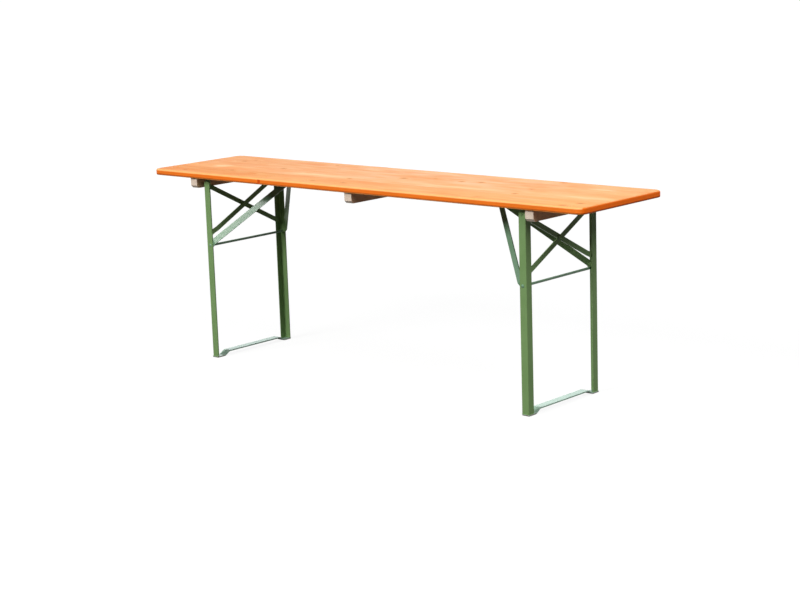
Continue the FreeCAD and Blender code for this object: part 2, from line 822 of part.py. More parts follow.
def make_hinge_bracket(end, row):
    """A bent plate screwed under the top, with a round-ended ear inside the leg for the pivot rivet."""
    side = row_sign(end, row)
    body = new_body(f"hinge_bracket_{end}_{row}")
    wall = D.bracket_wall
    base_low = D.pivot_drop - wall
    ear_inside = FLANGE_INSIDE - wall
    base_edge = FLANGE_INSIDE - D.bracket_base_width
    half = D.bracket_length / 2
    sketch = new_sketch(body, "YZ_Plane", "bend")
    points = [
        (FLANGE_INSIDE, -D.ear_radius),
        (FLANGE_INSIDE, D.pivot_drop),
        (base_edge, D.pivot_drop),
        (base_edge, base_low),
        (ear_inside, base_low),
        (ear_inside, -D.ear_radius),
    ]
    outline(sketch, [(y * side, z) for y, z in points])
    pad(body, sketch, D.bracket_length, both_ways=True)
    round_edges(body, "inner_bend", D.bracket_bend, [(0, ear_inside * side, base_low)])
    round_edges(body, "outer_bend", D.bracket_bend + wall, [(0, FLANGE_INSIDE * side, D.pivot_drop)])
    waste = new_sketch(body, "XZ_Plane", "ear")
    shoulder = base_low - D.bracket_shoulder
    for flank in (-1, 1):
        near = D.ear_radius * flank
        far = (half + D.overrun) * flank
        low = -D.ear_radius - D.overrun
        outline(waste, [(near, low), (far, low), (far, shoulder), (near, shoulder)])
    pocket(body, waste)
    ear_middle = (FLANGE_INSIDE - wall / 2) * side
    ear_corners = [(D.ear_radius * flank, ear_middle, -D.ear_radius) for flank in (-1, 1)]
    round_edges(body, "ear_end", D.ear_radius - D.round_margin, ear_corners)
    base_corners = [(half * flank, base_edge * side, D.pivot_drop - wall / 2) for flank in (-1, 1)]
    round_edges(body, "base_corners", D.bracket_corner, base_corners)
    pivot_hole = new_sketch(body, "XZ_Plane", "pivot_hole")
    circles(pivot_hole, [(0, 0)], ROD_HOLE)
    pocket(body, pivot_hole)
    screw_holes = new_sketch(body, "XY_Plane", "screw_holes")
    across = (FLANGE_INSIDE - (D.bracket_base_width + wall) / 2) * side
    centres = [(D.bracket_screw_spacing * step / 2, across) for step in (-1, 1)]
    circles(screw_holes, centres, PLATE_SCREW_HOLE)
    pocket(body, screw_holes)
    place(body, end, PIVOT_X, 0, PIVOT_Z)
    keep(body)


def hook_outline():
    """One cheek of the catch: a hook round the pin whose slot runs out the way the strut leaves."""
    slot = D.pin_diameter / 2 + D.side_clearance
    hook = slot + D.hook_wall
    out = (cosine(D.slot_angle), -sine(D.slot_angle))
    over = (sine(D.slot_angle), cosine(D.slot_angle))

    def spot(across, along):
        return (over[0] * across + out[0] * along, over[1] * across + out[1] * along)

    points = [
        (-hook, CATCH_DEPTH),
        (-hook, 0),
        spot(-hook, 0),
        spot(-hook, D.hook_lip),
        spot(-slot, D.hook_lip),
        spot(-slot, 0),
        spot(slot, 0),
        spot(slot, D.slot_length),
        (D.cheek_front, CATCH_DEPTH),
    ]
    return points, {1: ((0, 0), 1), 5: ((0, 0), -1)}


def make_catch_plate(end):
    """The catch: a plate under the top with two hooked cheeks that hold the lock pin."""
    body = new_body(f"catch_plate_{end}")
    half = D.plate_width / 2
    base = new_sketch(body, "XY_Plane", "base", CATCH_DEPTH)
    rectangle(base, -D.plate_back, -half, D.plate_front, half)
    pad(body, base, D.plate_wall)
    level = CATCH_DEPTH + D.plate_wall / 2
    corners = [(x, half * side, level) for x in (-D.plate_back, D.plate_front) for side in (-1, 1)]
    round_edges(body, "corners", D.plate_corner, corners)
    cheek = new_sketch(body, "XZ_Plane", "cheek", D.cheek_gap / 2)
    outline(cheek, *hook_outline())
    cheek_pad = pad(body, cheek, D.cheek_wall)
    mirror = body.newObject("PartDesign::Mirrored", f"{body.Label}_cheek_mirror")
    mirror.Originals = [cheek_pad]
    plane = next(feature for feature in body.Origin.OriginFeatures if feature.Role == "XZ_Plane")
    mirror.MirrorPlane = (plane, [""])
    body.Tip = mirror
    settle(mirror)
    holes = new_sketch(body, "XY_Plane", "screw_holes")
    circles(holes, [(x, y) for x, y, _ in catch_screw_places()], PLATE_SCREW_HOLE)
    pocket(body, holes)
    place(body, end, PIN_X, 0, PIN_Z, FreeCAD.Rotation(Z_AXIS, 180))
    keep(body)


def make_spring(end):
    """The spring strip: a root screwed under the plate and a tongue that stands behind the strut nose."""
    half = D.spring_width / 2
    root = new_body(f"spring_root_{end}")
    plan = new_sketch(root, "XY_Plane", "plan", CATCH_DEPTH - D.spring_wall)
    root_end = D.spring_root_start + D.spring_root_length
    rectangle(plan, D.spring_root_start, -half, root_end, half)
    pad(root, plan, D.spring_wall)
    level = CATCH_DEPTH - D.spring_wall / 2
    round_edges(root, "corners", half / 2, [(root_end, half * side, level) for side in (-1, 1)])
    holes = new_sketch(root, "XY_Plane", "screw_holes")
    circles(holes, [(x, y) for x, y, _ in catch_screw_places()[2:]], PLATE_SCREW_HOLE)
    pocket(root, holes)
    tongue = new_body(f"spring_tongue_{end}")
    side_view = new_sketch(tongue, "XZ_Plane", "side")
    start = D.spring_root_start - D.side_clearance
    upper = CATCH_DEPTH - D.tongue_gap
    tip = D.tongue_tip
    tip_top = D.tongue_tip_height
    lip_low = tip_top - D.tongue_lip_drop
    slope = (upper - tip_top) / (start - tip)
    lip_back = tip + D.spring_wall
    corner = tip_top - D.spring_wall + slope * D.spring_wall
    points = [
        (start, upper),
        (tip, tip_top),
        (tip, lip_low),
        (lip_back, lip_low),
        (lip_back, corner),
        (start, upper - D.spring_wall),
    ]
    outline(side_view, points)
    pad(tongue, side_view, D.spring_width, both_ways=True)
    bend = [(tip, 0, tip_top)]
    round_edges(tongue, "bend", D.spring_wall, bend)
    for body in (root, tongue):
        place(body, end, PIN_X, 0, PIN_Z, FreeCAD.Rotation(Z_AXIS, 180))
        keep(body)


def make_top():
    """The boards, battens and every screw that holds something to them."""
    batten_screw, batten_hole = screw_pair(
        "batten_screw",
        D.batten_screw_diameter,
        D.batten_screw_length,
        D.batten_screw_head,
        D.batten_screw_cone,
        sunk=True,
    )
    plate_screw, plate_hole = screw_pair(
        "plate_screw",
        D.plate_screw_diameter,
        D.plate_screw_length,
        D.plate_screw_head,
        D.plate_screw_head_height,
        sunk=False,
    )
    batten_spots = [spot for spots in batten_screw_spots().values() for spot in spots]
    plate_spots = bracket_screw_spots() + catch_screw_spots()
    drilled = make_panel()
    for name, hole, spots in (("batten", batten_hole, batten_spots), ("plate", plate_hole, plate_spots)):
        holes = copies(f"{name}_screw_holes", hole, spots)
        drilled = boolean("Part::Cut", f"top_panel_{name}_drilled", drilled, holes)
    make_boards(drilled)
    for name, x in batten_places().items():
        make_batten(name, x, batten_hole)
    keep(copies("batten_screws", batten_screw, batten_spots))
    keep(copies("bracket_screws", plate_screw, bracket_screw_spots()))
    keep(copies("catch_screws", plate_screw, catch_screw_spots()))


def make_end(end):
    for row in ROWS:
        make_hinge_bracket(end, row)
        make_leg(end, row)
        make_strut(end, row)
    make_foot_bar(end)
    make_brace(end, joggled=False)
    make_brace(end, joggled=True)
    make_brace_rivet(end)
    make_cross_rod(end)
    make_pivot_rivets(end)
    make_lock_pin(end)
    make_catch_plate(end)
    make_spring(end)


def check_and_write():
    DOCUMENT.recompute()
    for thing in DOCUMENT.Objects:
        if "Invalid" in thing.State or "Error" in thing.State:
            raise RuntimeError(f"{thing.Label} failed: {thing.State}")
    for node in NODES:
        if node.Shape.isNull() or not node.Shape.isValid() or not node.Shape.Solids:
            raise RuntimeError(f"{node.Label} has no sound solid")
    os.makedirs("parts", exist_ok=True)
    for node in NODES:
        node.Shape.exportStep(f"parts/{node.Label}.step")
        print(f"{node.Label}: {len(node.Shape.Solids)} solids, {node.Shape.Volume:.0f} cubic mm")


make_top()
for end_name in ENDS:
    make_end(end_name)
check_and_write()
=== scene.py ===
import math
import bpy
from mathutils import Matrix, Vector


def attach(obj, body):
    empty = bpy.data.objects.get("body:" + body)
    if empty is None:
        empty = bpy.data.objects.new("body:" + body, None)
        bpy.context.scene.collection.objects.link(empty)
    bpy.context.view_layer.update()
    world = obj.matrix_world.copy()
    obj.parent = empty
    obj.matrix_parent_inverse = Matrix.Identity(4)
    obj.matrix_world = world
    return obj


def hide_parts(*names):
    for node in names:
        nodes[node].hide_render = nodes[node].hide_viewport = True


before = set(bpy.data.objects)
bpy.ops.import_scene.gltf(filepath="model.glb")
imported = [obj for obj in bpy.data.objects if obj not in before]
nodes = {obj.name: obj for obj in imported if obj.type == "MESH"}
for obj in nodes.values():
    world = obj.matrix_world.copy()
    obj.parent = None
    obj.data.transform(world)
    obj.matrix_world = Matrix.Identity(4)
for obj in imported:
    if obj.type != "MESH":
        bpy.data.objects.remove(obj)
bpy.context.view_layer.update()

ends = {"left": -1, "right": 1}  # side of the table along X
rows = {"front": -1, "back": 1}  # side of the table along Y
print("frame loaded:", len(nodes), "nodes")


class Wire:
    # one output socket of a node tree; sums on it add Math nodes
    def __init__(self, tree, socket=None):
        self.tree = tree
        self.socket = socket

    def add(self, kind, settings=None, sockets=None, out=0):
        node = self.tree.nodes.new(kind)
        for name, value in (settings or {}).items():
            setattr(node, name, value)
        for key, value in (sockets or {}).items():
            for item in value if isinstance(value, list) else [value]:
                if isinstance(item, Wire):
                    self.tree.links.new(item.socket, node.inputs[key])
                else:
                    node.inputs[key].default_value = item
        return Wire(self.tree, node.outputs[out] if node.outputs else None)

    def other(self, out):
        return Wire(self.tree, self.socket.node.outputs[out])

    def maths(self, operation, *values):
        return self.add("ShaderNodeMath", {"operation": operation}, dict(enumerate(values)))

    def __add__(self, value):
        return self.maths("ADD", self, value)

    def __sub__(self, value):
        return self.maths("SUBTRACT", self, value)

    def __rsub__(self, value):
        return self.maths("SUBTRACT", value, self)

    def __mul__(self, value):
        return self.maths("MULTIPLY", self, value)

    def __truediv__(self, value):
        return self.maths("DIVIDE", self, value)

    def __pow__(self, value):
        return self.maths("POWER", self, value)

    def __abs__(self):
        return self.maths("ABSOLUTE", self)

    def least(self, value):
        return self.maths("MINIMUM", self, value)

    def most(self, value):
        return self.maths("MAXIMUM", self, value)

    def fraction(self):
        return self.maths("FRACT", self)

    def sine(self):
        return self.maths("SINE", self)

    # 0 below low, 1 above high, smooth between
    def ease(self, low, high):
        values = {"Value": self, "From Min": low, "From Max": high}
        return self.add("ShaderNodeMapRange", {"interpolation_type": "SMOOTHSTEP"}, values)

    # this value as the share of the second colour
    def tint(self, first, second):
        return self.add("ShaderNodeMix", {"data_type": "RGBA"}, {0: self, 6: first, 7: second}, out=2)

    def vector(self, operation, *values, out=0):
        return self.add("ShaderNodeVectorMath", {"operation": operation}, dict(enumerate(values)), out)

    def stretch(self, *scale):
        return self.vector("MULTIPLY", self, scale)

    def split(self):
        first = self.add("ShaderNodeSeparateXYZ", None, {0: self})
        return first, first.other(1), first.other(2)

    def join(self, x, y, z):
        return self.add("ShaderNodeCombineXYZ", None, {0: x, 1: y, 2: z})

    # a look is stretch, scale, detail, roughness and seed step
    def noise(self, look, seed):
        stretch, scale, detail, rough, step = look
        place = self.stretch(*stretch) if stretch else self
        values = {"Vector": place, "W": seed + step, "Scale": scale, "Detail": detail, "Roughness": rough}
        return self.add("ShaderNodeTexNoise", {"noise_dimensions": "4D"}, values)

    # several noises by name, each around zero
    def noises(self, looks, seed):
        return {key: self.noise(look, seed) - 0.5 for key, look in looks.items()}

    def bump(self, distance, strength):
        return self.add("ShaderNodeBump", None, {"Height": self, "Distance": distance, "Strength": strength})


def newMaterial(name):
    material = bpy.data.materials.new(name)
    material.use_nodes = True
    material.node_tree.nodes.clear()
    return material, Wire(material.node_tree)


def finishMaterial(wire, sockets):
    shader = wire.add("ShaderNodeBsdfPrincipled", None, sockets)
    wire.add("ShaderNodeOutputMaterial", None, {"Surface": shader})


def paintNode(name, material):
    data = nodes[name].data
    data.materials.clear()
    data.materials.append(material)


def toned(colour, tone):
    return tuple(min(1, part * tone) for part in colour[:3]) + (1,)


def weighed(values, shares):
    # sum of the named values, each times its share, and the base
    total = None
    for key, value in values.items():
        if key in shares:
            part = value * shares[key]
            total = part if total is None else total + part
    return total + shares["base"] if "base" in shares else total


def reliefBump(values, relief):
    return weighed(values, relief).bump(relief["distance"], relief["strength"])


# growth rings of all the wood
ringLook = {
    "drift": ((0.9, 2.0, 2.0), 1.6, 2, 0.5, 0),
    "driftReach": 0.05,
    "ripple": ((3.0, 30.0, 30.0), 1.2, 3, 0.55, 9),
    "rippleReach": 0.004,
    "lateFrom": (0.25, 0.86),  # share of a ring's width
    "lateTo": (0.90, 1.0),
}


def growthRings(place, heart, width, seed, push):
    # late wood share from the distance to the heart of the log
    x, y, z = place.split()
    drift = (place.noise(ringLook["drift"], seed) - 0.5) * ringLook["driftReach"]
    ripple = (place.noise(ringLook["ripple"], seed) - 0.5) * ringLook["rippleReach"]
    across = y - heart[0] + drift
    below = z - heart[1] + drift
    reach = (across * across + below * below) ** 0.5 + ripple + push
    share = (reach / width).fraction()
    return share.ease(*ringLook["lateFrom"]) * (1 - share.ease(*ringLook["lateTo"]))


# boards of the top
boardTop = 0.780
boardEdges = (-0.250, -0.106, -0.006, 0.122, 0.250)
lacquer = {
    "pale": (0.98, 0.420, 0.098, 1),
    "deep": (0.92, 0.262, 0.018, 1),
    "sap": (1.0, 0.61, 0.29, 1),
    "edge": (1.0, 0.210, 0.017, 1),
    "endGrain": (1.0, 0.166, 0.006, 1),
    # painted highlight on the rounded long edges
    "rimHighlight": (1.0, 0.535, 0.20, 1),
    # painted shade low on the sides
    "edgeShade": (0.42, 0.062, 0.003, 1),
    # painted sky reflection on the top
    "sheenPale": (1.0, 0.62, 0.37, 1),
    "knot": (0.70, 0.205, 0.014, 1),
    "knotRim": (0.86, 0.270, 0.020, 1),
    "glue": (0.30, 0.085, 0.015, 1),
    "fingerStain": (0.68, 0.078, 0.003, 1),
    "ringWidth": 0.0034,
    "noises": {
        "streak": ((1.3, 42.0, 42.0), 1.0, 4, 0.6, 3),
        "fibre": ((14.0, 950.0, 950.0), 1.0, 2, 0.5, 5),
        "cloud": ((1.6, 5.0, 5.0), 1.0, 2, 0.5, 7),
        "figure": ((5.0, 19.0, 12.0), 1.0, 3, 0.6, 13),
    },
    "depth": {"late": 0.42, "streak": 1.15, "cloud": 0.8, "figure": 1.5, "fibre": 0.25, "base": 0.46},
    "rough": {"streak": 0.12, "late": 0.05, "base": 0.48},
    "shine": 0.10,
    "relief": {"late": 0.35, "fibre": 0.5, "seam": -1.6, "distance": 0.00012, "strength": 0.55},
}
# each board: heart of the log across and below, tone, share of painted sky reflection, seed,
# knots as (x, y, radius), pale sapwood as (x, y, half length, half width, share)
boards = {
    "top_board_front_left": {
        "heart": (-0.150, 0.690), "tone": 0.95, "sheen": 0.0, "seed": 1.0,
        "knots": [(-0.756, -0.122, 0.009), (-0.950, -0.204, 0.011)],
        "sap": [(-0.700, -0.118, 0.070, 0.010, 0.5)],
    },
    "top_board_front_right": {
        "heart": (-0.205, 0.705), "tone": 0.98, "sheen": 0.10, "seed": 2.0,
        "knots": [(-0.231, -0.187, 0.009), (-0.075, -0.178, 0.010), (1.031, -0.162, 0.010),
                  (1.000, -0.225, 0.010)],
        "sap": [(0.280, -0.190, 0.130, 0.016, 0.4), (0.800, -0.160, 0.160, 0.018, 0.4)],
    },
    "top_board_second": {
        "heart": (-0.040, 0.660), "tone": 1.04, "sheen": 0.36, "seed": 3.0,
        "knots": [(0.685, -0.085, 0.008), (-0.137, -0.078, 0.007)],
        "sap": [(-0.330, -0.056, 0.200, 0.030, 0.9), (0.420, -0.060, 0.260, 0.026, 0.9),
                (0.980, -0.050, 0.150, 0.032, 0.7), (-0.900, -0.046, 0.050, 0.046, 1.0)],
    },
    "top_board_third": {
        "heart": (0.090, 0.700), "tone": 0.99, "sheen": 0.36, "seed": 4.0,
        "knots": [(-0.925, 0.112, 0.009), (-0.600, 0.022, 0.009), (0.050, 0.031, 0.011),
                  (0.312, 0.065, 0.009), (0.394, 0.084, 0.009), (0.669, 0.035, 0.008),
                  (0.169, 0.081, 0.006)],
        "sap": [(0.560, 0.055, 0.130, 0.020, 0.35), (-0.240, 0.060, 0.120, 0.014, 0.3)],
    },
    "top_board_back": {
        "heart": (0.170, 0.680), "tone": 0.98, "sheen": 0.44, "seed": 5.0,
        "knots": [(0.675, 0.225, 0.010), (-0.460, 0.196, 0.006), (-0.905, 0.160, 0.007)],
        "sap": [(0.912, 0.140, 0.070, 0.026, 0.8), (-0.210, 0.150, 0.060, 0.016, 0.4)],
    },
}

knotLook = {
    "waver": (None, 90, 2, 0.6, 0),
    "waverReach": 0.9,
    "squash": (0.75, 1.0, 0.25),  # drawn out along the board and down through it
    "push": 0.011,  # rings are pushed aside this far
    "pushReach": (0.4, 3.6),  # in knot radii, as the next two
    "rimReach": (0.75, 1.9),
    "coreReach": (0.35, 0.95),
}


def knotDistance(place, knots, seed):
    # distance to the nearest knot in knot radii, wavering a little
    waver = (place.noise(knotLook["waver"], seed) - 0.5) * knotLook["waverReach"]
    nearest = None
    for x, y, radius in knots:
        offset = place.vector("SUBTRACT", place, (x, y, boardTop))
        scaled = offset.stretch(*(part / radius for part in knotLook["squash"]))
        distance = scaled.vector("LENGTH", scaled, out=1) + waver
        nearest = distance if nearest is None else nearest.least(distance)
    return nearest


sapLook = {"ragged": ((9.0, 70.0, 20.0), 1.0, 3, 0.6, 11), "raggedReach": 1.3, "reach": (0.15, 1.25)}


def sapShare(place, patches, seed):
    # soft pale patches with ragged ends along the grain
    ragged = (place.noise(sapLook["ragged"], seed) - 0.5) * sapLook["raggedReach"]
    total = None
    for x, y, halfLength, halfWidth, share in patches:
        offset = place.vector("SUBTRACT", place, (x, y, boardTop))
        offset = offset.stretch(1 / halfLength, 1 / halfWidth, 0.0)
        distance = offset.vector("LENGTH", offset, out=1) + ragged
        patch = (1 - distance.ease(*sapLook["reach"])) * share
        total = patch if total is None else total.most(patch)
    return total


# painted sky reflection: the top is painted paler in the middle of its length and on the back boards, and less
# deep towards the right end
sheenLook = {
    "fade": (-1.1, 0.7),
    "fadeShare": 0.26,
    "rise": (-1.1, 0.0),
    "riseShare": 0.72,
    "base": 0.4,
    "fall": (0.3, 1.1),
    "fallShare": 0.8,
    "figureShare": 3.5,
}


def faceColour(board, place, knot, depth, figure):
    x = place.split()[0]
    tone, seed = board["tone"], board["seed"]
    colour = depth.ease(0.0, 1.0).tint(toned(lacquer["pale"], tone), toned(lacquer["deep"], tone))
    # painted reflection of the sky, strongest in the middle and on the back boards
    sheenShare = x.ease(*sheenLook["rise"]) * sheenLook["riseShare"] + sheenLook["base"]
    sheenShare = sheenShare - x.ease(*sheenLook["fall"]) * sheenLook["fallShare"]
    sheenShare = sheenShare * (1 - figure * sheenLook["figureShare"])
    colour = (sheenShare * board["sheen"]).tint(colour, lacquer["sheenPale"])
    colour = sapShare(place, board["sap"], seed).tint(colour, lacquer["sap"])
    colour = (1 - knot.ease(*knotLook["rimReach"])).tint(colour, lacquer["knotRim"])
    return (1 - knot.ease(*knotLook["coreReach"])).tint(colour, lacquer["knot"])


seamLook = {"boards": (0.0001, 0.0005), "fingers": (0.0003, 0.0010), "share": 0.55}
fingerJoint = {
    "boards": ("top_board_front_left", "top_board_front_right"),
    "x": -0.475,
    "depth": 0.012,
    "pitch": 0.024,
    "stainReach": (0.35, 0.75),  # from the middle of the fingers, in depths
}


def boardSeams(y):
    # 1 on the glue lines between the boards
    nearest = None
    for edge in boardEdges[1:-1]:
        gap = abs(y - edge)
        nearest = gap if nearest is None else nearest.least(gap)
    return 1 - nearest.ease(*seamLook["boards"])


def fingerSeam(x, y):
    zigzag = 1 - abs(((y - boardEdges[0]) / fingerJoint["pitch"]).fraction() * 2.0 - 1)
    offset = abs(x - fingerJoint["x"] - zigzag * fingerJoint["depth"])
    return 1 - offset.ease(*seamLook["fingers"])


edgeLook = {
    "sideTurn": (0.10, 0.40),  # upward part of the normal from side to face
    "endTurn": (0.50, 0.90),  # the same at the short ends
    "endMark": (0.0, 0.3),  # how much more the normal points lengthwise than across
    "stain": (0.1, 1.2),
    "stainTone": 0.8,
    "shadeBand": (0.0207, 0.0167),  # painted shade band, below the top
    # painted highlight on the rounding above the long sides
    "highlightFrom": (0.06, 0.30),
    "highlightTo": (0.95, 0.995),
    "highlightShare": 0.85,
}


def lacquerMaterial(name, board):
    material, wire = newMaterial("lacquered_" + name)
    place = wire.add("ShaderNodeTexCoord", out="Object")
    normal = wire.add("ShaderNodeTexCoord", out="Normal")
    seed = board["seed"]
    x, y, z = place.split()
    knot = knotDistance(place, board["knots"], seed)
    push = (1 - knot.ease(*knotLook["pushReach"])) * knotLook["push"]
    grain = place.noises(lacquer["noises"], seed)
    grain["late"] = growthRings(place, board["heart"], lacquer["ringWidth"], seed, push)
    # painted reflection: the top is painted less deep towards the right end
    depth = weighed(grain, lacquer["depth"]) - x.ease(*sheenLook["fade"]) * sheenLook["fadeShare"]
    colour = faceColour(board, place, knot, depth, grain["figure"])

    # sawn sides drink more stain, most of it at the short ends; the lowest band of the sides is painted shade
    lengthward, crossward, upward = normal.split()
    endward = (abs(lengthward) - abs(crossward)).ease(*edgeLook["endMark"])
    turns = zip(edgeLook["sideTurn"], edgeLook["endTurn"])
    side = 1 - abs(upward).ease(*(endward * (short - long) + long for long, short in turns))
    stained = depth.ease(*edgeLook["stain"])
    sideColour = stained.tint(lacquer["edge"], toned(lacquer["edge"], edgeLook["stainTone"]))
    sideColour = endward.tint(sideColour, lacquer["endGrain"])
    # painted shade: the lowest band of the sides is painted dark
    low = 1 - z.ease(*(boardTop - below for below in edgeLook["shadeBand"]))
    sideColour = low.tint(sideColour, lacquer["edgeShade"])
    colour = side.tint(colour, sideColour)
    # painted highlight: the rounding above the long sides is painted pale, as if lit
    highlitRim = upward.ease(*edgeLook["highlightFrom"]) * (1 - upward.ease(*edgeLook["highlightTo"])) * (1 - endward)
    colour = (highlitRim * edgeLook["highlightShare"]).tint(colour, lacquer["rimHighlight"])

    grain["seam"] = boardSeams(y)
    if name in fingerJoint["boards"]:
        grain["seam"] = grain["seam"].most(fingerSeam(x, y))
        # the cut fibres of the fingers drink more stain, which shows on the long edge
        middle = fingerJoint["x"] + fingerJoint["depth"] / 2
        reach = abs(x - middle) / fingerJoint["depth"]
        soaked = side * (1 - reach.ease(*fingerJoint["stainReach"]))
        colour = soaked.tint(colour, lacquer["fingerStain"])
    finishMaterial(wire, {
        "Base Color": (grain["seam"] * seamLook["share"]).tint(colour, lacquer["glue"]),
        "Roughness": weighed(grain, lacquer["rough"]),
        "Normal": reliefBump(grain, lacquer["relief"]),
        "Specular IOR Level": lacquer["shine"],
    })
    return material


# battens
rawWood = {
    # the batten colours are tinted warm red: painted light bounced from the orange top
    "pale": (0.80, 0.52, 0.34, 1),
    "deep": (0.58, 0.33, 0.20, 1),
    "end": (0.90, 0.75, 0.62, 1),
    "endDeep": (0.66, 0.52, 0.41, 1),
    "grime": (0.30, 0.22, 0.15, 1),
    "ringWidth": 0.0042,
    "cutFrom": (0.2248, 0.2268),  # the cut ends begin here
    "cutTurn": (0.35, 0.6),
    "noises": {
        "streak": ((4.0, 90.0, 90.0), 1.0, 3, 0.6, 3),
        "fibre": ((60.0, 1400.0, 1400.0), 1.0, 2, 0.5, 5),
        "grime": (None, 16.0, 3, 0.6, 6),
    },
    "depth": {"late": 0.55, "streak": 0.8, "fibre": 0.5, "base": 0.2},
    "endDepth": {"late": 0.7, "fibre": 0.8, "base": 0.15},
    "grimeFrom": (-0.05, 0.3),
    "grimeShare": 0.35,
    "rough": {"streak": 0.2, "base": 0.74},
    "shine": 0.3,
    "relief": {"fibre": 0.8, "late": 0.3, "distance": 0.0002, "strength": 0.6},
}
battens = {
    "batten_left": {"x": -0.865, "heart": (-0.03, 0.690), "seed": 11.0},
    "batten_middle": {"x": 0.0, "heart": (0.025, 0.775), "seed": 12.0},
    "batten_right": {"x": 0.865, "heart": (0.04, 0.700), "seed": 13.0},
}


def rawMaterial(name, batten):
    material, wire = newMaterial("raw_" + name)
    whole = wire.add("ShaderNodeTexCoord", out="Object")
    normal = wire.add("ShaderNodeTexCoord", out="Normal")
    x, y, z = whole.split()
    # the grain runs across the table, so the length axis changes places
    place = wire.join(y, x - batten["x"], z)
    grain = place.noises(rawWood["noises"], batten["seed"])
    grain["late"] = growthRings(place, batten["heart"], rawWood["ringWidth"], batten["seed"], 0.0)
    colour = weighed(grain, rawWood["depth"]).ease(0.0, 1.0).tint(rawWood["pale"], rawWood["deep"])
    endDepth = weighed(grain, rawWood["endDepth"])
    endColour = endDepth.ease(0.0, 1.0).tint(rawWood["end"], rawWood["endDeep"])
    cut = abs(normal.split()[1]).ease(*rawWood["cutTurn"]) * abs(y).ease(*rawWood["cutFrom"])
    colour = cut.tint(colour, endColour)
    dirty = grain["grime"].ease(*rawWood["grimeFrom"]) * rawWood["grimeShare"]
    finishMaterial(wire, {
        "Base Color": dirty.tint(colour, rawWood["grime"]),
        "Roughness": weighed(grain, rawWood["rough"]),
        "Normal": reliefBump(grain, rawWood["relief"]),
        "Specular IOR Level": rawWood["shine"],
    })
    return material


for boardName, board in boards.items():
    paintNode(boardName, lacquerMaterial(boardName, board))
for battenName, batten in battens.items():
    paintNode(battenName, rawMaterial(battenName, batten))
print("wood finished:", len(boards), "boards,", len(battens), "battens")

# painted steel
paint = {
    "scuff": (0.235, 0.290, 0.205, 1),
    "bare": (0.20, 0.185, 0.165, 1),
    # painted shade under the low parts
    "dirt": (0.040, 0.044, 0.032, 1),
    "seed": 20.0,
    "cloud": (None, 7.0, 3, 0.55, 1),
    "peel": (None, 420.0, 2, 0.5, 2),
    "speck": (None, 160.0, 3, 0.6, 3),
    "scratch": ((1.0, 1.0, 0.12), 240.0, 2, 0.6, 4),
    "scuffPatch": (None, 12.0, 2, 0.5, 5),
    "shadeFrom": (0.3, 0.7),
    "scratchFrom": (0.66, 0.74),
    "patchFrom": (0.52, 0.64),
    "scuffShare": 0.6,
    "floorWear": 0.016,  # paint is rubbed below this height
    "wearLow": 0.75,
    "wearSpeck": 0.55,
    "wearFrom": (0.86, 0.94),
    "underShadeHeight": (0.020, 0.040),  # painted shade sits under what is lower than this
    "underShadeTurn": (0.15, 0.5),
    "underShadeShare": 0.75,
    "rough": {"cloud": 0.10, "scuff": 0.12, "worn": 0.25, "dirt": 0.5},
    "metal": 0.7,
    "relief": {"peel": 0.35, "worn": -0.6, "scuff": 0.1, "distance": 0.00007, "strength": 0.5},
}
finishes = {
    "gloss": {
        "green": (0.192, 0.342, 0.212, 1), "shade": (0.168, 0.309, 0.188, 1),
        "rough": 0.13, "shine": 0.145,
    },
    "foot": {
        "green": (0.375, 0.550, 0.435, 1), "shade": (0.325, 0.490, 0.385, 1),
        "rough": 0.16, "shine": 0.11,
    },
    "dull": {
        "green": (0.216, 0.358, 0.142, 1), "shade": (0.190, 0.324, 0.122, 1),
        "rough": 0.26, "shine": 0.06,
    },
}


def paintMaterial(kind):
    finish = finishes[kind]
    material, wire = newMaterial(f"green_{kind}_paint")
    place = wire.add("ShaderNodeTexCoord", out="Object")
    z = place.split()[2]
    looks = ("cloud", "peel", "speck", "scratch", "scuffPatch")
    cloud, peel, speck, scratch, patch = (place.noise(paint[key], paint["seed"]) for key in looks)
    colour = cloud.ease(*paint["shadeFrom"]).tint(finish["green"], finish["shade"])
    scuffs = scratch.ease(*paint["scratchFrom"]) * patch.ease(*paint["patchFrom"])
    colour = (scuffs * paint["scuffShare"]).tint(colour, paint["scuff"])
    low = 1 - z.ease(0.0, paint["floorWear"])
    worn = (low * paint["wearLow"] + speck * paint["wearSpeck"]).ease(*paint["wearFrom"])
    colour = worn.tint(colour, paint["bare"])
    # painted shade on downward faces near the floor, which are also rougher
    downward = wire.add("ShaderNodeTexCoord", out="Normal").split()[2] * -1.0
    dirt = downward.ease(*paint["underShadeTurn"]) * (1 - z.ease(*paint["underShadeHeight"]))
    colour = (dirt * paint["underShadeShare"]).tint(colour, paint["dirt"])
    marks = {"cloud": cloud - 0.5, "peel": peel, "scuff": scuffs, "worn": worn, "dirt": dirt}
    finishMaterial(wire, {
        "Base Color": colour,
        "Roughness": weighed(marks, paint["rough"]) + finish["rough"],
        "Metallic": worn * paint["metal"],
        "Normal": reliefBump(marks, paint["relief"]),
        "Specular IOR Level": finish["shine"],
    })
    return material


# plated steel
plating = {
    "zinc": (0.46, 0.46, 0.445, 1),
    "straw": (0.52, 0.44, 0.29, 1),
    "dull": (0.25, 0.25, 0.24, 1),
    "flake": (None, 140.0, 3, 0.6, 0),
    "drawn": ((60.0, 1600.0, 1600.0), 1.0, 2, 0.5, 1),
    "stain": (None, 40.0, 3, 0.6, 2),
    "flakeFrom": (0.35, 0.7),
    "stainFrom": (0.55, 0.75),
    "stainShare": 0.5,
    "rough": {"drawn": 0.18, "stain": 0.15},
    "relief": {"drawn": 0.6, "flake": 0.4, "distance": 0.00004, "strength": 0.5},
}


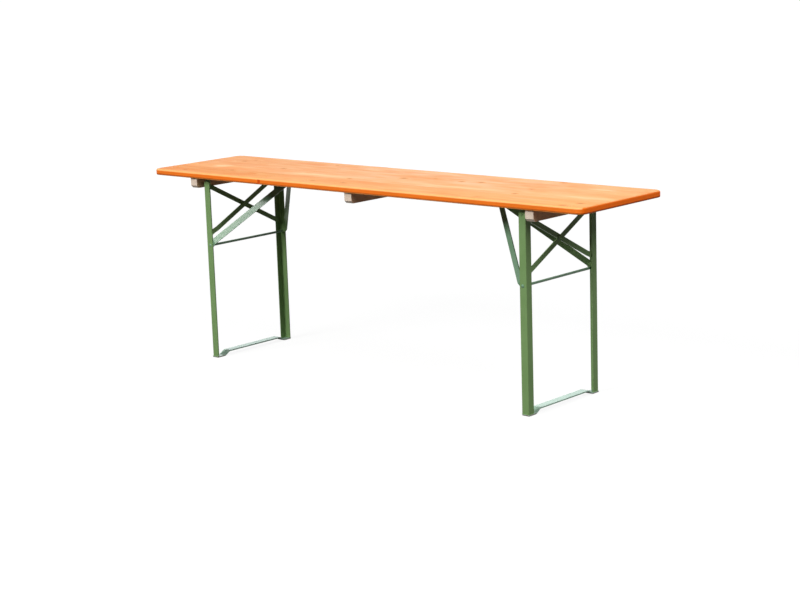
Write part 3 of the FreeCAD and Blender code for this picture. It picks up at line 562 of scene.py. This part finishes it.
def platedMaterial(name, warm, rough, seed):
    material, wire = newMaterial(name)
    place = wire.add("ShaderNodeTexCoord", out="Object")
    flake, drawn, stain = (place.noise(plating[key], seed) for key in ("flake", "drawn", "stain"))
    colour = (flake.ease(*plating["flakeFrom"]) * warm).tint(plating["zinc"], plating["straw"])
    stained = stain.ease(*plating["stainFrom"]) * plating["stainShare"]
    marks = {"drawn": drawn - 0.5, "stain": stain, "flake": flake}
    finishMaterial(wire, {
        "Base Color": stained.tint(colour, plating["dull"]),
        "Roughness": weighed(marks, plating["rough"]) + rough,
        "Metallic": 1.0,
        "Normal": reliefBump(marks, plating["relief"]),
    })
    return material


glossPaint = paintMaterial("gloss")
footPaint = paintMaterial("foot")
dullPaint = paintMaterial("dull")
platedSteel = platedMaterial("zinc_plate", warm=0.25, rough=0.30, seed=31.0)
screwSteel = platedMaterial("yellow_zinc", warm=0.9, rough=0.26, seed=35.0)
springSteel = platedMaterial("spring_steel", warm=0.1, rough=0.22, seed=39.0)
screwNames = ("batten_screws", "bracket_screws", "catch_screws")
steelNames = {}
for end in ends:
    steelNames.update({f"catch_plate_{end}": platedSteel, f"lock_pin_{end}": platedSteel})
    steelNames.update({f"spring_root_{end}": springSteel, f"spring_tongue_{end}": springSteel})
    steelNames.update({f"cross_rod_{end}": glossPaint, f"strut_{end}_front": glossPaint})
    steelNames[f"foot_bar_{end}"] = footPaint
for nodeName in nodes:
    if nodeName not in boards and nodeName not in battens and nodeName not in screwNames:
        paintNode(nodeName, steelNames.get(nodeName, dullPaint))
print("steel finished")


# trees that repeat a shape
def newTree(name, inputs):
    tree = bpy.data.node_groups.new(name, "GeometryNodeTree")
    tree.interface.new_socket("Geometry", in_out="INPUT", socket_type="NodeSocketGeometry")
    for key, (kind, value) in inputs.items():
        socket = tree.interface.new_socket(key, in_out="INPUT", socket_type="NodeSocket" + kind)
        if value is not None:
            socket.default_value = value
    tree.interface.new_socket("Geometry", in_out="OUTPUT", socket_type="NodeSocketGeometry")
    source = Wire(tree).add("NodeGroupInput")
    return tree, source


def endTree(geometry, material):
    wire = geometry.add("GeometryNodeRealizeInstances", None, {"Geometry": geometry})
    wire = wire.add("GeometryNodeSetMaterial", None, {"Geometry": wire, "Material": material})
    wire.add("NodeGroupOutput", None, {0: wire})


def growMesh(name, tree, points, edges, inputs, smoothAngle):
    base = bpy.data.meshes.new(name + "_base")
    base.from_pydata(points, edges, [])
    holder = bpy.data.objects.new(name + "_base", base)
    bpy.context.scene.collection.objects.link(holder)
    modifier = holder.modifiers.new("grow", "NODES")
    modifier.node_group = tree
    for item in tree.interface.items_tree:
        if item.in_out == "INPUT" and item.name in inputs:
            modifier[item.identifier] = inputs[item.name]
    graph = bpy.context.evaluated_depsgraph_get()
    mesh = bpy.data.meshes.new_from_object(holder.evaluated_get(graph))
    bpy.data.objects.remove(holder)
    mesh.polygons.foreach_set("use_smooth", [True] * len(mesh.polygons))
    mesh.set_sharp_from_angle(angle=math.radians(smoothAngle))
    piece = bpy.data.objects.new(name, mesh)
    bpy.context.scene.collection.objects.link(piece)
    return piece


def ringStack(wire, rings, sides):
    # closed turned shape from (radius, height) rings, lowest first
    bands = []
    for (radius, low), (nextRadius, high) in zip(rings, rings[1:]):
        values = {"Vertices": sides, "Radius Bottom": radius, "Radius Top": nextRadius, "Depth": high - low}
        band = wire.add("GeometryNodeMeshCone", {"fill_type": "NONE"}, values)
        lift = wire.join(0.0, 0.0, low)
        bands.append(wire.add("GeometryNodeTransform", None, {"Geometry": band, "Translation": lift}))
    whole = wire.add("GeometryNodeJoinGeometry", None, {0: bands})
    return wire.add("GeometryNodeMergeByDistance", None, {"Geometry": whole, "Distance": 1e-6})


# screws
screwTreeInputs = {
    "Head Radius": ("Float", 0.004),
    "Head Height": ("Float", 0.0024),
    "Shank Radius": ("Float", 0.002),
    "Length": ("Float", 0.018),
    "Recess Span": ("Float", 0.0044),
    "Recess Width": ("Float", 0.0010),
    "Recess Depth": ("Float", 0.0016),
    "Seed": ("Int", 7),
    "Material": ("Material", None),
}
screwShape = {
    "sides": 28,
    # rings from the middle of the head outwards, in head radii and head heights above the seat
    "panRings": ((0.0, 1.0), (0.45, 0.97), (0.74, 0.84), (0.93, 0.58), (1.0, 0.25), (0.995, 0.0)),
    "dish": 0.00002,  # a sunk head is very slightly domed
    "dishRing": 0.7,
    "pointLength": 0.004,
    "pointRadius": 0.05,
    "spin": 6.28,  # heads are turned at random up to this
}


def screwTree(name, sunk):
    tree, source = newTree(name, screwTreeInputs)
    pick = {key: source.other(key) for key in screwTreeInputs}
    head, tall, shank, length = (pick[key] for key in ("Head Radius", "Head Height", "Shank Radius", "Length"))
    seat, dish = head * 0.0, screwShape["dish"]
    if sunk:
        rings = [(0.0, seat - dish * 2), (head * screwShape["dishRing"], seat - dish), (head, seat + dish)]
        rings.append((shank, tall))
        face = seat
    else:
        rings = [(head * radius, tall * -height) for radius, height in screwShape["panRings"]]
        rings.append((shank, seat + dish))
        face = tall * -1.0
    rings += [(shank, length - screwShape["pointLength"]), (shank * screwShape["pointRadius"], length)]
    body = ringStack(source, rings, screwShape["sides"])
    slots = []
    for turn in (0.0, math.pi / 2):
        size = source.join(pick["Recess Span"], pick["Recess Width"], pick["Recess Depth"] * 2.0)
        bar = source.add("GeometryNodeMeshCube", None, {"Size": size})
        values = {"Geometry": bar, "Translation": source.join(0.0, 0.0, face), "Rotation": (0, 0, turn)}
        slots.append(source.add("GeometryNodeTransform", None, values))
    settings = {"operation": "DIFFERENCE", "solver": "EXACT"}
    cut = source.add("GeometryNodeMeshBoolean", settings, {"Mesh 1": body, "Mesh 2": slots})
    values = {2: 0.0, 3: screwShape["spin"], "Seed": pick["Seed"]}
    angle = source.add("FunctionNodeRandomValue", {"data_type": "FLOAT"}, values, out=1)
    values = {"Points": source, "Instance": cut, "Rotation": source.join(0.0, 0.0, angle)}
    endTree(source.add("GeometryNodeInstanceOnPoints", None, values), pick["Material"])
    return tree


battenScrews = {
    "xs": (-0.865, 0.0, 0.865), "ys": (-0.178, -0.056, 0.058, 0.186), "z": 0.713,
    "inputs": {
        "Head Radius": 0.0049, "Head Height": 0.003, "Shank Radius": 0.0025, "Length": 0.060,
        "Recess Span": 0.0054, "Recess Width": 0.0011, "Recess Depth": 0.0022,
    },
}
bracketScrews = {"pivotX": 0.8115, "steps": (-0.014, 0.014), "y": 0.1857, "z": 0.752, "inputs": {"Seed": 3}}
catchScrews = {
    "pinX": 0.541,
    # inwards from the pin, across, height: two in the plate, two in the spring's root
    "spots": ((0.005, 0.020, 0.7525), (0.005, -0.020, 0.7525), (0.059, 0.0, 0.751), (0.071, 0.0, 0.751)),
    "inputs": {"Seed": 5},
}
screwSmooth = 30


def makeScrews():
    sunkTree = screwTree("sunk_screw", True)
    panTree = screwTree("pan_screw", False)
    inBattens = [(x, y, battenScrews["z"]) for x in battenScrews["xs"] for y in battenScrews["ys"]]
    inBrackets = [
        (side * (bracketScrews["pivotX"] + step), row * bracketScrews["y"], bracketScrews["z"])
        for side in ends.values() for row in rows.values() for step in bracketScrews["steps"]
    ]
    inCatches = [
        (side * (catchScrews["pinX"] - inwards), across, height)
        for side in ends.values() for inwards, across, height in catchScrews["spots"]
    ]
    made = {}
    for name, place, tree, spots, screw in (
        ("batten_screws", "battens", sunkTree, inBattens, battenScrews),
        ("bracket_screws", "brackets", panTree, inBrackets, bracketScrews),
        ("catch_screws", "catches", panTree, inCatches, catchScrews),
    ):
        inputs = {**screw["inputs"], "Material": screwSteel}
        piece = growMesh("screws_in_" + place, tree, spots, [], inputs, screwSmooth)
        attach(piece, "table")
        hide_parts(name)
        made[name] = piece
    return made


screws = makeScrews()
print("screws made:", {name: len(piece.data.polygons) for name, piece in screws.items()})

# weld beads at the feet and the braces' ends
welds = {
    "legX": 0.829, "legY": 0.213, "flange": 0.030, "footTop": 0.005,
    "braceFace": 0.826, "braceY": 0.199, "braceMid": 0.6205, "braceRise": 0.1015, "braceHalf": 0.0095,
    "overlap": 0.016, "radius": 0.0017, "pitch": 0.0026, "ripple": 0.16,
    "stepShare": 0.2,  # of the pitch, between two rings of a bead
    "unrestScale": 300.0, "unrestShare": 0.5, "thin": 0.75,
    "sides": 8, "smooth": 60,
}


def weldTree():
    inputs = {
        "Radius": ("Float", welds["radius"]),
        "Pitch": ("Float", welds["pitch"]),
        "Ripple": ("Float", welds["ripple"]),
        "Seed": ("Float", 3.0),
        "Material": ("Material", None),
    }
    tree, source = newTree("weld_bead", inputs)
    pick = {key: source.other(key) for key in inputs}
    curve = source.add("GeometryNodeMeshToCurve", None, {"Mesh": source})
    values = {"Curve": curve, "Length": pick["Pitch"] * welds["stepShare"]}
    curve = source.add("GeometryNodeResampleCurve", {"mode": "LENGTH"}, values)
    along = source.add("GeometryNodeSplineParameter", out="Length")
    spot = source.add("GeometryNodeInputPosition")
    values = {"Vector": spot, "W": pick["Seed"], "Scale": welds["unrestScale"]}
    unrest = source.add("ShaderNodeTexNoise", {"noise_dimensions": "4D"}, values)
    wave = (along / pick["Pitch"] * math.tau).sine() * pick["Ripple"]
    thick = pick["Radius"] * (wave + unrest * welds["unrestShare"] + welds["thin"])
    ring = source.add("GeometryNodeCurvePrimitiveCircle", None, {"Resolution": welds["sides"], "Radius": 1.0})
    values = {"Curve": curve, "Profile Curve": ring, "Scale": thick, "Fill Caps": True}
    bead = source.add("GeometryNodeCurveToMesh", None, values)
    endTree(bead, pick["Material"])
    return tree


def weldLines(end):
    side = ends[end]
    lines = []
    for row in rows.values():
        x, y, z = welds["legX"], welds["legY"] * row, welds["footTop"]
        toeX, toeY = x - welds["flange"], y - welds["flange"] * row
        lines.append([(toeX, y, z), (x, y, z), (x, toeY, z)])
    for row in rows.values():
        for up in (-1, 1):
            along = Vector((0, welds["braceY"] * row, welds["braceRise"] * up)).normalized()
            across = Vector((0, -along.z, along.y)) * welds["braceHalf"]
            height = welds["braceMid"] + welds["braceRise"] * up
            tip = Vector((welds["braceFace"], welds["braceY"] * row, height))
            back = tip - along * welds["overlap"]
            lines.append([tuple(back + across), tuple(tip + across), tuple(tip - across), tuple(back - across)])
    return [[(x * side, y * side, z) for x, y, z in line] for line in lines]


def makeWelds():
    tree = weldTree()
    made = []
    for end in ends:
        points, edges = [], []
        for line in weldLines(end):
            first = len(points)
            points += line
            edges += [(first + number, first + number + 1) for number in range(len(line) - 1)]
        inputs = {"Material": dullPaint}
        piece = growMesh("weld_beads_" + end, tree, points, edges, inputs, welds["smooth"])
        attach(piece, "leg_frame_" + end)
        made.append(piece)
    return made


print("welds made:", [len(piece.data.polygons) for piece in makeWelds()])

# camera
photoCamera = {
    "place": (4.6702, -5.1777, 1.7202),
    "yaw": 0.73,
    "pitch": 0.2014,
    "roll": 0.0330,
    "focalPixels": 1806.92,
    "imageWidth": 800,
    "sensor": 36.0,
    "farthest": 500,
}


def makeCamera():
    yaw, pitch, roll = photoCamera["yaw"], photoCamera["pitch"], photoCamera["roll"]
    forward = Vector((-math.sin(yaw) * math.cos(pitch), math.cos(yaw) * math.cos(pitch), -math.sin(pitch)))
    level = Vector((math.cos(yaw), math.sin(yaw), 0))
    drop = forward.cross(level)
    right = math.cos(roll) * level + math.sin(roll) * drop
    down = math.cos(roll) * drop - math.sin(roll) * level
    data = bpy.data.cameras.new("photo_camera")
    data.sensor_width = photoCamera["sensor"]
    data.lens = photoCamera["focalPixels"] / photoCamera["imageWidth"] * photoCamera["sensor"]
    data.clip_end = photoCamera["farthest"]
    camera = bpy.data.objects.new("photo_camera", data)
    turn = Matrix((right, -down, -forward)).transposed().to_4x4()
    camera.matrix_world = Matrix.Translation(photoCamera["place"]) @ turn
    bpy.context.scene.collection.objects.link(camera)
    bpy.context.scene.camera = camera


# floor, sky and lamps
white = (1, 1, 1, 1)
stageLook = {
    "floorSize": 300.0,
    "floorHeight": -0.0004,
    "floorGlow": (0.90, 0.90, 0.90, 1),  # what the camera sees before shadows
    "floorFar": (2.5, 9.0),  # the glow turns white between these distances
    "floorShade": (0.14, 0.14, 0.14, 1),
    "floorBounce": (0.08, 0.08, 0.08, 1),
    "skyTop": (0.97, 0.99, 1.0, 1),
    "skyLow": (0.045, 0.05, 0.05, 1),
    "skyRise": (0.35, 0.9),
    "skyStrength": 0.44,
}
lamps = {
    "key": {
        "place": (-1.6, -6.9, 5.0), "aim": (-0.2, 0.0, 0.6), "size": (3.2, 2.6),
        "watts": 518, "colour": (1.0, 1.0, 0.985),
    },
    "side": {
        "place": (4.9, -1.75, 4.5), "aim": (0.3, 0.0, 0.5), "size": (3.5, 3.5),
        "watts": 206, "colour": (1.0, 0.99, 0.98),
    },
    "window": {
        "place": (-13.3, 14.9, 5.4), "aim": (0.0, 0.0, 0.0), "size": (13.0, 2.6),
        "watts": 190, "colour": (0.84, 0.97, 1.0),
    },
    "back": {
        "place": (-0.4, 7.4, 4.2), "aim": (0.0, 0.0, 0.5), "size": (5.0, 2.0),
        "watts": 110, "colour": (1.0, 1.0, 1.0),
    },
}


def seenRays(wire):
    # 1 for rays that show the background
    path = wire.add("ShaderNodeLightPath", out="Is Camera Ray")
    return path.most(path.other("Is Glossy Ray")).most(path.other("Is Transmission Ray"))


def makeFloor():
    half = stageLook["floorSize"] / 2
    z = stageLook["floorHeight"]
    mesh = bpy.data.meshes.new("floor")
    corners = [(-half, -half, z), (half, -half, z), (half, half, z), (-half, half, z)]
    mesh.from_pydata(corners, [], [(0, 1, 2, 3)])
    floor = bpy.data.objects.new("floor", mesh)
    bpy.context.scene.collection.objects.link(floor)
    material, wire = newMaterial("pale_floor")
    ground = wire.add("ShaderNodeBsdfDiffuse", None, {"Color": stageLook["floorBounce"]})
    shade = wire.add("ShaderNodeBsdfDiffuse", None, {"Color": stageLook["floorShade"]})
    place = wire.add("ShaderNodeTexCoord", out="Object")
    far = place.vector("LENGTH", place, out=1).ease(*stageLook["floorFar"])
    glowColour = far.tint(stageLook["floorGlow"], white)
    glow = wire.add("ShaderNodeEmission", None, {"Color": glowColour, "Strength": 1.0})
    pale = wire.add("ShaderNodeAddShader", None, {0: shade, 1: glow})
    mixed = wire.add("ShaderNodeMixShader", None, {0: seenRays(wire), 1: ground, 2: pale})
    # clear from below, so that the underside can be looked at
    below = wire.add("ShaderNodeNewGeometry", out="Backfacing")
    clear = wire.add("ShaderNodeBsdfTransparent")
    whole = wire.add("ShaderNodeMixShader", None, {0: below, 1: mixed, 2: clear})
    wire.add("ShaderNodeOutputMaterial", None, {"Surface": whole})
    mesh.materials.append(material)


def makeWorld():
    world = bpy.data.worlds.new("studio")
    bpy.context.scene.world = world
    world.use_nodes = True
    world.node_tree.nodes.clear()
    wire = Wire(world.node_tree)
    height = wire.add("ShaderNodeTexCoord", out="Generated").split()[2]
    sky = height.ease(*stageLook["skyRise"]).tint(stageLook["skyLow"], stageLook["skyTop"])
    light = wire.add("ShaderNodeBackground", None, {"Color": sky, "Strength": stageLook["skyStrength"]})
    blank = wire.add("ShaderNodeBackground", None, {"Color": white, "Strength": 1.0})
    mixed = wire.add("ShaderNodeMixShader", None, {0: seenRays(wire), 1: light, 2: blank})
    wire.add("ShaderNodeOutputWorld", None, {"Surface": mixed})


def makeLamps():
    for name, lamp in lamps.items():
        data = bpy.data.lights.new(name, "AREA")
        data.shape = "RECTANGLE"
        data.size, data.size_y = lamp["size"]
        data.energy = lamp["watts"]
        data.color = lamp["colour"]
        light = bpy.data.objects.new(name, data)
        light.location = lamp["place"]
        aim = Vector(lamp["aim"]) - Vector(lamp["place"])
        light.rotation_euler = aim.to_track_quat("-Z", "Y").to_euler()
        bpy.context.scene.collection.objects.link(light)


makeCamera()
makeFloor()
makeWorld()
makeLamps()
bpy.context.scene.view_settings.view_transform = "Standard"
print("stage set")
